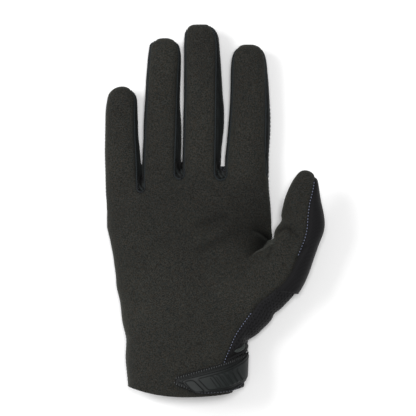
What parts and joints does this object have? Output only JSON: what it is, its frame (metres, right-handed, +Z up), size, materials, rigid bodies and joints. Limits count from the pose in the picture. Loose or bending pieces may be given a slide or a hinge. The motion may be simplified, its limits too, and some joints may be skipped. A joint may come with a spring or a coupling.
{
  "type": "cycling glove",
  "caption": "Right-hand long-finger cycling glove with a one-piece suede palm, finger side strips, a knit thumb back, a mesh wrist side panel and a rubber-faced wrist strap.",
  "frame": {"origin": "centre of the overall box at the level that the glove lies on, on its back", "axes": "+Y runs from the cuff to the fingertips, +X to the thumb and +Z up, off the palm"},
  "size_m": [0.134, 0.2306, 0.0444],
  "materials": {
    "palm_suede": "matt",
    "back_knit": "matt",
    "thumb_knit": "satin",
    "side_mesh": "matt",
    "cuff_knit": "matt",
    "side_strip": "matt",
    "strap_webbing": "matt",
    "strap_rubber": "satin",
    "hook_tape": "matt"
  },
  "bodies": {
    "root": {"palm_panel": "palm_suede", "back_panel": "back_knit", "thumb_back": "thumb_knit", "wrist_gusset": "side_mesh", "cuff_back": "cuff_knit", "fourchette_little_ring": "side_strip", "fourchette_ring_middle": "side_strip", "fourchette_middle_index": "side_strip", "index_side_gusset": "side_strip", "wrist_strap": "strap_webbing", "strap_patch": "strap_rubber", "strap_hook_pad": "hook_tape"}
  },
  "joints": []
}
